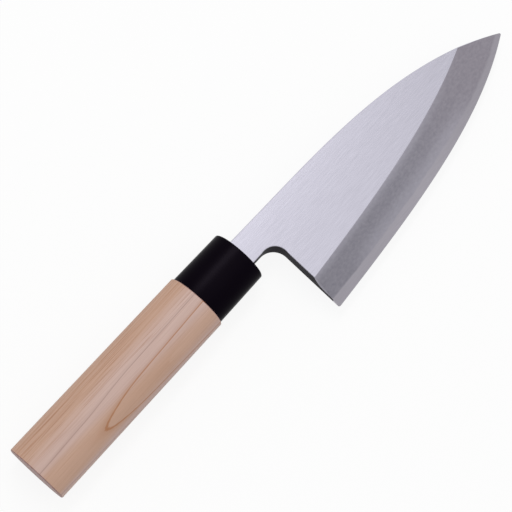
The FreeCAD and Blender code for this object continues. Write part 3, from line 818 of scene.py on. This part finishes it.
def bevel(points):
    """Height of the bevel over points of the plan, and their share of the way from the edge to the ridge."""
    t, share = ruled(EDGE, RIDGE, points)
    start = BACK + EDGE_LAND
    ridge_height = -BACK + along_blade(cubic(RIDGE, t)[..., 0]) * (TIP_THICKNESS - BLADE_THICKNESS)
    return start + share * (ridge_height - start), share


def hollow(points):
    """Lift of the hollow over the back: 4a(1-a) along times 4b(1-b) across, sunk to end in a line."""
    t, across = ruled(LOWER_RIM, UPPER_RIM, points)
    first = HOLLOW_HEEL_GAP / (3 * (EDGE[1, 0] - EDGE[0, 0]))
    last = 1 - HOLLOW_TIP_GAP / (3 * (EDGE[3, 0] - EDGE[2, 0]))
    a, b = np.clip((t - first) / (last - first), 0, 1), np.clip(across, 0, 1)
    return HOLLOW_DEPTH * ((1 + HOLLOW_SINK) * 4 * a * (1 - a) * 4 * b * (1 - b) - HOLLOW_SINK)


def lift(points, heights):
    """Points of the plan with their heights."""
    return np.concatenate([points, np.broadcast_to(heights, points.shape[:-1])[..., None]], -1)


print("hollow at most", HOLLOW_DEPTH, "mm deep, inside a rim of", HOLLOW_RIM, "mm")

# %% [markdown]
# ## Blade: notch and ridge
# Before the grids come the points that hold them. The notch in front of the ferrule is a circle that
# touches the neck and the heel's rear face. The ridge starts on that face and runs into the spine. Fixed
# numbers could stand for these points, but worked out they stay right when a length changes. The two
# borders that are eased get an inner version for the top and an outer one below.

# %% Notch and ridge
NOTCH_RADIUS = 8.0
# Points of the notch behind and ahead of the place where the steel starts.
NOTCH_BEHIND, NOTCH_AHEAD = 6, 16
LOWER_EASE, SPINE_EASE = 0.2, 0.35
heel_corner = EDGE[0]
notch_corner = np.array([NECK_LENGTH, NECK_LOW])
choil_way = unit(heel_corner - notch_corner)
choil_in = left_of(choil_way)

notch_turn = math.acos(choil_way[0])
notch_middle = notch_corner - (NOTCH_RADIUS * math.tan(notch_turn / 2), NOTCH_RADIUS)
start_angle = math.acos((STEEL_START - notch_middle[0]) / NOTCH_RADIUS)
notch_angles = np.concatenate([np.linspace(math.pi / 2, start_angle, NOTCH_BEHIND),
                               np.linspace(start_angle, math.pi / 2 - notch_turn, NOTCH_AHEAD)[1:]])
notch_in = np.stack([np.cos(notch_angles), np.sin(notch_angles)], -1)
notch = notch_middle + NOTCH_RADIUS * notch_in


def off_choil(points):
    """Distance of points from the heel's rear face, into the blade."""
    return (points - notch_corner) @ choil_in


def under_spine(t):
    """Height in the plan from the ridge's point up to the spine."""
    point = cubic(RIDGE, t)
    return cubic(SPINE, spine_at(point[..., 0]))[..., 1] - point[..., 1]


ridge_start = crossing(lambda t: off_choil(cubic(RIDGE, t)) - LOWER_EASE, 0.0, 0.1)
ridge_corner = cubic(RIDGE, crossing(lambda t: off_choil(cubic(RIDGE, t)), -0.05, 0.1))
ridge_end_out = crossing(under_spine, 0.5, 0.95)
ridge_tip = cubic(RIDGE, ridge_end_out)
spine_slope = unit(cubic_way(SPINE, spine_at(ridge_tip[0])))
ridge_end = crossing(lambda t: under_spine(t) - SPINE_EASE / spine_slope[0], 0.5, 0.95)
print("ridge from", ridge_corner.round(2), "on the heel to", ridge_tip.round(2), "on the spine")

# %% [markdown]
# ## Blade: its tip
# A deba's tip is rounded a little, so that it does not break off. A Bevel modifier could round it, but
# edge and spine have to run into the rounding without a kink. So it is a small circle that touches both:
# its middle lies one radius in from the edge and is moved along it until it is one radius off the spine
# as well. Just behind it the bevel has taken all the iron away, and the steel stands alone.

# %% Tip
TIP_ROUNDING, SPINE_SAMPLES = 0.6, 4001
spine_samples = np.linspace(0, 1, SPINE_SAMPLES)
spine_points = cubic(SPINE, spine_samples)


def tip_middle(t):
    """A point one tip rounding in from the edge."""
    return cubic(EDGE, t) + TIP_ROUNDING * left_of(cubic_way(EDGE, t))


def tip_gap(t):
    """What lacks from that point to the spine for a circle that touches both."""
    return np.min(np.hypot(*(spine_points - tip_middle(t)).T)) - TIP_ROUNDING


edge_touch = crossing(tip_gap, 0.8, 1.0)
middle = tip_middle(edge_touch)
spine_touch = spine_samples[np.argmin(np.hypot(*(spine_points - middle).T))]
touch_ways = np.stack([cubic(EDGE, edge_touch), cubic(SPINE, spine_touch)]) - middle
touch_angles = np.arctan2(touch_ways[:, 1], touch_ways[:, 0])


def spine_over_weld(t):
    """How far the bevel stands above the weld plane at the spine."""
    point = cubic(SPINE, t)
    return bevel(point)[0] - weld_height(point[..., 0])


iron_end = crossing(spine_over_weld, 0.85, spine_touch)
print("tip at", (middle + (TIP_ROUNDING, 0)).round(2))

# %% [markdown]
# ## Blade: the flat side's grid
# The flat side is a grid from the lower border (tang, neck, notch, heel and ridge) across to the spine.
# A plain square grid would cut the borders into steps, so each row here runs from one border to the
# other. Its first column lies close to the ridge, so that the roll from flat to bevel is as narrow as on
# the real blade. In the notch the top stands back from the wall's foot, because the file that shaped it
# was held at a slant.

# %% Grid of the flat side
NECK_ROWS, CHOIL_ROWS, RIDGE_ROWS, FLAT_COLUMNS = 7, 11, 110, 18
NOTCH_SLANT, RIDGE_BLEND, FAN = 0.75, 0.4, 26.0

neck = np.stack([np.linspace(0, notch[0, 0], NECK_ROWS), np.full(NECK_ROWS, NECK_LOW)], -1)
choil = np.linspace(notch[-1], ridge_corner, CHOIL_ROWS)[1:]
lower_out = np.concatenate([[(-TANG_LENGTH, -TANG_END[0] / 2)], neck, notch[1:], choil])
lower_in = np.concatenate([[(0.0, 0.0)], np.repeat([(0.0, 1.0)], len(neck), 0), notch_in[1:],
                           np.repeat([choil_in], len(choil), 0)])
steel_row = len(neck) + NOTCH_BEHIND - 1
corner_row = len(lower_out) - 1
ridge_t = ridge_start + (ridge_end - ridge_start) * np.linspace(0, 1, RIDGE_ROWS)
ridge = cubic(RIDGE, ridge_t)
flat_low_out = np.concatenate([lower_out[:-1], [ridge_corner], ridge[1:-1], [ridge_tip]])
slant = np.zeros((len(lower_out), 1))
slant[len(neck):len(neck) + len(notch), 0] = NOTCH_SLANT * np.sin(np.linspace(0, math.pi, len(notch)))
flat_low = np.concatenate([(lower_out + (LOWER_EASE + slant) * lower_in)[:-1], ridge])

# The rows from the notch and from the heel's rear face fan out to the spine between these two places.
fan_x = np.linspace(STEEL_START, FAN, corner_row - steel_row + 1)[1:]
ridge_x = np.linspace(FAN, ridge_tip[0], RIDGE_ROWS)[1:]
spine_x = np.concatenate([lower_out[1:steel_row + 1, 0], fan_x, ridge_x])
spine_t = spine_at(spine_x)
spine_in = -left_of(cubic_way(SPINE, spine_t))
flat_high_out = np.concatenate([[(-TANG_LENGTH, TANG_END[0] / 2)], cubic(SPINE, spine_t)])
flat_high = flat_high_out + SPINE_EASE * np.concatenate([[(0.0, 0.0)], spine_in])
flat_high[-1] = ridge[-1]
row_length = np.linalg.norm(flat_high - flat_low, axis=1)[:, None]
first = np.minimum(RIDGE_BLEND / np.maximum(row_length, RIDGE_BLEND), 1 / FLAT_COLUMNS)
shares = np.concatenate([0 * first, first + (1 - first) * np.linspace(0, 1, FLAT_COLUMNS)], 1)
flat_plan = flat_low[:, None] + (flat_high - flat_low)[:, None] * shares[..., None]
flat_plan_out = flat_plan.copy()
flat_plan_out[:, 0], flat_plan_out[:, -1] = flat_low_out, flat_high_out
flat_plan_out[-1] = flat_low_out[-1]
print("flat grid", flat_plan.shape[:2])

# %% [markdown]
# ## Blade: the bevel's borders
# The bevel's rows start on the edge, with its rounded heel corner and half of the tip's circle. They end
# on the ridge and, near the tip, on the spine, which is eased only as far as the iron under it has room.
# On the ridge they meet the flat side's rows one by one, so no gap opens between the two grids.

# %% Borders of the bevel
TIP_ROWS, END_ROWS, ARC_ROWS, HEEL_STEPS = 30, 4, 8, 4
TIP_SPLIT, HEEL_ROUNDING = 0.985, 0.9

heel_arc = eased([notch_corner, heel_corner, cubic(EDGE, 0.1)], HEEL_ROUNDING, HEEL_STEPS)[1:-1]
first_edge = crossing(lambda t: cubic(EDGE, t)[..., 0] - heel_arc[-1, 0], 0.0, 0.1)
edge_t = np.linspace(first_edge, ridge_end, RIDGE_ROWS - HEEL_STEPS)[1:]
edge_low = np.concatenate([heel_arc, cubic(EDGE, edge_t)])
tip_way = np.concatenate([np.linspace(0, 1, TIP_ROWS + 1)[1:] * TIP_SPLIT,
                          np.linspace(TIP_SPLIT, 1, END_ROWS + 1)[1:]])
edge_tip = cubic(EDGE, ridge_end + (edge_touch - ridge_end) * tip_way)
apex = touch_angles.mean()


def tip_arc(angle):
    """Points of the tip's rounding from a touching point to the apex, the touching point left out."""
    turn = np.linspace(angle, apex, ARC_ROWS + 1)[1:]
    return middle + TIP_ROUNDING * np.stack([np.cos(turn), np.sin(turn)], -1)


bevel_low = np.concatenate([edge_low, edge_tip, tip_arc(touch_angles[0])])
tip_t = np.concatenate([np.linspace(spine_at(ridge_tip[0]), iron_end, TIP_ROWS + 1)[1:],
                        np.linspace(iron_end, spine_touch, END_ROWS + 1)[1:]])
tip_spine = cubic(SPINE, tip_t)
tip_ease = SPINE_EASE * np.clip(spine_over_weld(tip_t) / 2, 0, 1)
tip_inner = tip_spine - left_of(cubic_way(SPINE, tip_t)) * tip_ease[:, None]
spine_arc = tip_arc(touch_angles[1])
bevel_high = np.concatenate([ridge, tip_inner, spine_arc])
bevel_high_out = np.concatenate([[ridge_corner], ridge[1:-1], [ridge_tip], tip_spine, spine_arc])
iron_row = RIDGE_ROWS - 1 + TIP_ROWS
print("bevel rows", len(bevel_low), "iron ends at row", iron_row)

# %% [markdown]
# ## Blade: the bevel's grid
# The weld cuts each row of the bevel into a part on the steel and a part on the iron. The two pieces
# could be cut apart at the end, but this way both have the same points on that line. On the heel the
# iron's corner is worn round by handling. For the finish each point keeps how far it lies above the weld
# line. The bright band is a little wider at the heel, where the smith left more steel.

# %% Grid of the bevel
STEEL_COLUMNS, IRON_COLUMNS = 8, 14
HEEL_EASE = 0.7
BAND_WIDER, BAND_WIDER_OVER = 0.75, 12.0


def over_weld(share):
    """How far the bevel stands above the weld plane at a share of each row."""
    points = bevel_low + (bevel_high - bevel_low) * share[:, None]
    return bevel(points)[0] - weld_height(points[:, 0])


weld_share = crossing(over_weld, np.zeros(len(bevel_low)), np.ones(len(bevel_low)))
weld_share[iron_row:] = 1.0
weld_column = weld_share[:, None]
steel_shares = weld_column * np.linspace(0, 1, STEEL_COLUMNS + 1)
row_length = np.linalg.norm(bevel_high - bevel_low, axis=1)[:, None]
last = 1 - np.minimum(RIDGE_BLEND / np.maximum(row_length, RIDGE_BLEND), (1 - weld_column) / IRON_COLUMNS)
iron_shares = weld_column + (last - weld_column) * np.linspace(0, 1, IRON_COLUMNS)
bevel_shares = np.concatenate([steel_shares, iron_shares[:, 1:], np.ones_like(last)], 1)
bevel_plan_out = bevel_low[:, None] + (bevel_high_out - bevel_low)[:, None] * bevel_shares[..., None]
bevel_plan = bevel_low[:, None] + (bevel_high - bevel_low)[:, None] * bevel_shares[..., None]
heel_way = np.clip((bevel_shares[0] - weld_share[0]) / (1 - weld_share[0]), 0, 1)
heel_ease = LOWER_EASE * heel_way + HEEL_EASE * 4 * heel_way * (1 - heel_way)
bevel_plan[0] = bevel_plan_out[0] + choil_in * heel_ease[:, None]
bevel_plan[0, -1] = ridge[0]
bevel_plan_out[1:, :-1] = bevel_plan[1:, :-1]
bevel_plan_out[iron_row:] = bevel_plan[iron_row:]
wider = BAND_WIDER * np.exp(-(bevel_plan[..., 0] - EDGE[0, 0]) / BAND_WIDER_OVER)
band = (bevel_shares - weld_column) * row_length - wider
print("bevel grid", bevel_plan.shape[:2], "weld at the heel", weld_share[0].round(3), "of the way up")

# %% [markdown]
# ## Blade: eased borders and walls
# The metal's edges are not knife-sharp where a hand touches them. A Bevel modifier would round them all
# by one width. Here a quarter round leads from the top into the wall along the neck, the notch and the
# heel, and a fine flat chamfer along the spine. On the heel it dips, where the corner is worn. A wall is
# a strip: its rows are the same border at different heights.

# %% Strips
HEEL_DROP, LOWER_STEPS, SPINE_STEPS = 2.2, 4, 1


def quarter_round(inner, outer, top, drop, steps):
    """Rows of a quarter round from the inner border at its top height out to the outline: sin a of the way
    out, and a drop of (1 - cos a). One step makes a flat chamfer."""
    angles = np.linspace(0, math.pi / 2, steps + 1)
    return [lift(inner + (outer - inner) * math.sin(a), top - drop * (1 - math.cos(a))) for a in angles]


def border(first, second):
    """Two runs of points joined into one, the point that they share kept once."""
    return np.concatenate([first, second[1:]])


def top_and_room(inner, outer):
    """Height of a border, and the share of its easing that fits above the weld: half the height between
    them in millimetres, at most all of it, and none at the tang's end."""
    top = np.minimum(flat_height(inner[:, 0]), bevel(inner)[0])
    room = np.clip((top - weld_height(outer[:, 0])) / 2, 0, 1)
    room[0] = 0
    return top, room


heel_columns = np.arange(STEEL_COLUMNS + IRON_COLUMNS, STEEL_COLUMNS - 1, -1)
low_inner = border(flat_plan[:corner_row + 1, 0], bevel_plan[0, heel_columns])
low_outer = border(flat_plan_out[:corner_row + 1, 0], bevel_plan_out[0, heel_columns])
low_top, low_room = top_and_room(low_inner, low_outer)
low_slanted = low_outer.copy()
low_slanted[:corner_row] += (slant * lower_in)[:corner_row]
low_drop = LOWER_EASE * low_room
heel_up = heel_way[heel_columns]
# The worn corner: h^2 (1 - h) is largest two thirds of the way up, and 27 / 4 makes it one there.
low_drop[corner_row:] += HEEL_DROP * 27 / 4 * heel_up ** 2 * (1 - heel_up)
low_round = quarter_round(low_inner, low_slanted, low_top, low_drop, LOWER_STEPS)

high_inner = border(flat_plan[:, -1], bevel_plan[RIDGE_ROWS - 1:iron_row + 1, -1])
high_outer = border(flat_plan_out[:, -1], bevel_plan_out[RIDGE_ROWS - 1:iron_row + 1, -1])
high_top, high_room = top_and_room(high_inner, high_outer)
high_round = quarter_round(high_inner, high_outer, high_top, SPINE_EASE * high_room, SPINE_STEPS)
print("lower border", len(low_inner), "points, spine", len(high_inner), "points")

# %% [markdown]
# ## Soft iron
# The iron is most of the blade: the flat side, the upper part of the bevel, the neck and the tang. Its
# underside is the weld plane, and behind the steel it reaches down to the back. It could be cut from a
# block, but as patches each face is one of the grids above at one of the heights, with a finish of its
# own. Forge scale covers the walls under the neck, in the notch and on the heel, and its border is
# crisp.

# %% Soft iron
on_flat, on_heel = slice(0, corner_row + 1), slice(corner_row, None)
behind, ahead = slice(0, steel_row + 1), slice(steel_row, None)
iron_part = (slice(0, iron_row + 1), slice(STEEL_COLUMNS, None))
iron_bevel, iron_bevel_out = bevel_plan[iron_part], bevel_plan_out[iron_part]
bevel_top = np.minimum(bevel(iron_bevel)[0], flat_height(iron_bevel[..., 0]))
bevel_top[:, 0] = weld_height(iron_bevel[:, 0, 0])
bevel_top[-1] = weld_height(iron_bevel[-1, :, 0])


def at(height, points):
    """Points of the plan lifted to one of the blade's heights along X."""
    return lift(points, height(points[..., 0]))


low_weld, high_weld = at(weld_height, low_outer), at(weld_height, high_outer)
step = flat_plan_out[steel_row]
tang_end = flat_plan_out[0]
heel_spots = bevel_shares[0, heel_columns], band[0, heel_columns]
iron_patches = [
    patch(at(flat_height, flat_plan), satin),
    patch(lift(iron_bevel, bevel_top), honed, (bevel_shares[iron_part], band[iron_part])),
    patch(np.stack(low_round)[:, on_flat], satin),
    patch(np.stack(low_round)[:, on_heel], honed, heel_spots),
    patch(np.stack([low_round[-1], low_weld]), scale),
    patch(np.stack(high_round + [high_weld]), satin),
    patch(np.stack([low_weld[behind], at(back_height, low_outer[behind])]), scale),
    patch(np.stack([high_weld[behind], at(back_height, high_outer[behind])]), satin),
    patch(at(back_height, flat_plan_out[behind]), satin),
    patch(at(weld_height, flat_plan_out[ahead]), satin),
    patch(at(weld_height, iron_bevel_out), satin),
    patch(np.stack([at(weld_height, step), at(back_height, step)]), satin),
    patch(np.stack([at(height, tang_end) for height in (flat_height, weld_height, back_height)]), satin),
]
build_piece("blade_iron", iron_patches, [satin, honed, scale], "blade_cladding", crisp=scale)

# %% [markdown]
# ## Hard steel
# The steel is a plate under the iron that thins towards the tip. It shows as the bright band along the
# edge and as the whole back, which is ground hollow so that only its rim touches the whetstone. A
# painted band could stand for it, but on the real knife it is a plate of its own. Made from the same
# grids as the iron, it fits under it without a gap.

# %% Hard steel
# For the finish, a narrow face of the steel counts as a spot at the edge, a millimetre below the border.
STEEL_SPOT = (0.0, -1.0)
steel_columns = slice(0, STEEL_COLUMNS + 1)
steel_bevel = bevel_plan[:, steel_columns]
steel_top = bevel(steel_bevel)[0]
steel_top[:iron_row + 1, -1] = weld_height(steel_bevel[:iron_row + 1, -1, 0])
edge_top = lift(bevel_low, steel_top[:, 0])


def on_back(points):
    """Points of the plan on the back, with the hollow's lift where it is above zero."""
    return lift(points, BACK + np.maximum(hollow(points), 0))


def back_patch(points):
    """A patch of the back. Its finish reads the place along the blade and the hollow's lift."""
    return patch(on_back(points), ground, (points[..., 0], hollow(points)))


heel_steel = bevel_plan_out[0, STEEL_COLUMNS::-1]
tip_end = bevel_plan_out[iron_row:, -1]
tip_top = lift(tip_end, steel_top[iron_row:, -1])
steel_spots = bevel_shares[:, steel_columns], band[:, steel_columns]
steel_patches = [
    patch(lift(steel_bevel, steel_top), honed, steel_spots),
    patch(at(weld_height, flat_plan_out[ahead]), scale),
    patch(at(weld_height, iron_bevel_out), scale),
    back_patch(flat_plan_out[ahead]),
    back_patch(bevel_plan_out),
    patch(np.stack([at(weld_height, step), on_back(step)]), honed, STEEL_SPOT),
    patch(np.stack([low_weld[steel_row:], on_back(low_outer[steel_row:])]), scale),
    patch(np.stack([lift(heel_steel, steel_top[0, ::-1]), on_back(heel_steel)]), honed, STEEL_SPOT),
    patch(np.stack([high_weld[steel_row:], on_back(high_outer[steel_row:])]), ground),
    patch(np.stack([tip_top, on_back(tip_end)]), ground),
    patch(np.stack([edge_top, on_back(bevel_low)]), honed, STEEL_SPOT),
]
build_piece("blade_steel", steel_patches, [honed, ground, scale], "cutting_steel", crisp=scale)

# %% [markdown]
# ## Floor
# A plain pale floor carries the knife. Strong lamps could make it white, but they would bleach the wood
# too. So where it is seen, directly or in a reflection, its material mixes plain white with a matt white
# that takes light: the floor stays white and keeps a light shadow. For the light that it throws back on
# the knife it is a light grey, so the lower side of the handle stays in the shade, as in the photograph.

# %% Floor
REACH = 4.0
FLOOR_HEIGHT = -0.2
PLAIN_SHARE = 0.88

floor_mesh = bpy.data.meshes.new("floor")
sides = ((-1, -1), (1, -1), (1, 1), (-1, 1))
corners = [(x * REACH, y * REACH, FLOOR_HEIGHT * MM) for x, y in sides]
floor_mesh.from_pydata(corners, [], [(0, 1, 2, 3)])
floor = bpy.data.objects.new("floor", floor_mesh)
bpy.context.scene.collection.objects.link(floor)
paper, tree = new_material("white_paper")
rays = ("Is Camera Ray", "Is Glossy Ray", "Is Transmission Ray")
camera_ray, glossy_ray, transmission_ray = (add(tree, "LightPath", give=ray) for ray in rays)
seen = add(tree, "Math", {0: camera_ray, 1: glossy_ray}, operation="ADD")
shown = add(tree, "Math", {0: seen, 1: transmission_ray}, operation="ADD")
share = add(tree, "Math", {0: shown, 1: PLAIN_SHARE}, operation="MULTIPLY", use_clamp=True)
paper_tone = add(tree, "Mix", {"Factor": shown, "A": "#BDBDBD", "B": "#FAFAFA"}, **COLOUR)
matt = add(tree, "BsdfDiffuse", {"Color": paper_tone})
plain = add(tree, "Emission", {"Color": "#FFFFFF", "Strength": 1.0})
both = add(tree, "MixShader", {0: share, 1: matt, 2: plain})
add(tree, "OutputMaterial", {"Surface": both})
floor_mesh.materials.append(paper)
print("floor at", FLOOR_HEIGHT, "mm")

# %% [markdown]
# ## Light
# A set of lamps could light the knife, but ground metal would show each of them as a spot. So the light
# is a dim sky with one wide bright part overhead, which the flat side of the blade mirrors and the bevel
# does not. That is why the flat looks bright and the bevel grey, though both are the same iron. Towards
# the horizon the sky is pale, so a low view has a pale background too. A long softbox on the spine's
# side draws the line of light on the ferrule.

# %% Sky and softbox
SKY_LEVEL, OVERHEAD_LEVEL, HORIZON_LEVEL = 0.58, 0.6, 0.3
OVERHEAD_TO_TIP, OVERHEAD_TO_SPINE = math.radians(16), math.radians(-4)
OVERHEAD_POWER, HORIZON_POWER = 12.0, 3.0
SOFTBOX_TO_TIP, SOFTBOX_TO_SPINE = math.radians(17), math.radians(22)
SOFTBOX_DISTANCE, SOFTBOX_LENGTH, SOFTBOX_WIDTH, SOFTBOX_POWER = 1.2, 0.8, 0.28, 3.4


def leaning_way(to_tip, to_spine):
    """Direction that leans from the vertical by two angles, towards the tip and towards the spine."""
    return unit((math.tan(to_tip), math.tan(to_spine), 1.0))


world = bpy.data.worlds.new("studio")
world.use_nodes = True
bpy.context.scene.world = world
tree = world.node_tree
tree.nodes.clear()
way = add(tree, "TexCoord", give="Generated")
overhead = leaning_way(OVERHEAD_TO_TIP, OVERHEAD_TO_SPINE).tolist()
toward = add(tree, "VectorMath", {0: way, 1: overhead}, operation="DOT_PRODUCT")
above = add(tree, "Math", {0: toward, 1: 0.0}, operation="MAXIMUM")
bright = add(tree, "Math", {0: above, 1: OVERHEAD_POWER}, operation="POWER")
upward = add(tree, "SeparateXYZ", {0: way}, give="Z")
rise = add(tree, "Math", {0: upward}, operation="ABSOLUTE")
lowness = add(tree, "Math", {0: 1.0, 1: rise}, operation="SUBTRACT")
horizon = add(tree, "Math", {0: lowness, 1: HORIZON_POWER}, operation="POWER")
level = add(tree, "Math", {0: horizon, 1: HORIZON_LEVEL, 2: SKY_LEVEL}, operation="MULTIPLY_ADD")
light = add(tree, "Math", {0: bright, 1: OVERHEAD_LEVEL, 2: level}, operation="MULTIPLY_ADD")
sky = add(tree, "Background", {"Color": "#FFFFFF", "Strength": light})
add(tree, "OutputWorld", {"Surface": sky})

softbox_way = leaning_way(SOFTBOX_TO_TIP, SOFTBOX_TO_SPINE)
softbox = bpy.data.objects.new("softbox", bpy.data.lights.new("softbox", "AREA"))
softbox.data.shape = "RECTANGLE"
softbox.data.size = SOFTBOX_LENGTH
softbox.data.size_y = SOFTBOX_WIDTH
softbox.data.energy = SOFTBOX_POWER
box_right = unit(np.cross((0.0, 1.0, 0.0), softbox_way))
box_up = np.cross(softbox_way, box_right)
box_axes = np.stack([box_right, box_up, softbox_way, softbox_way * SOFTBOX_DISTANCE], 1)
softbox.matrix_world = Matrix([*box_axes.tolist(), [0, 0, 0, 1]])
bpy.context.scene.collection.objects.link(softbox)
bpy.context.scene.view_settings.view_transform = "Standard"
print("softbox at", (softbox_way * SOFTBOX_DISTANCE).round(3))
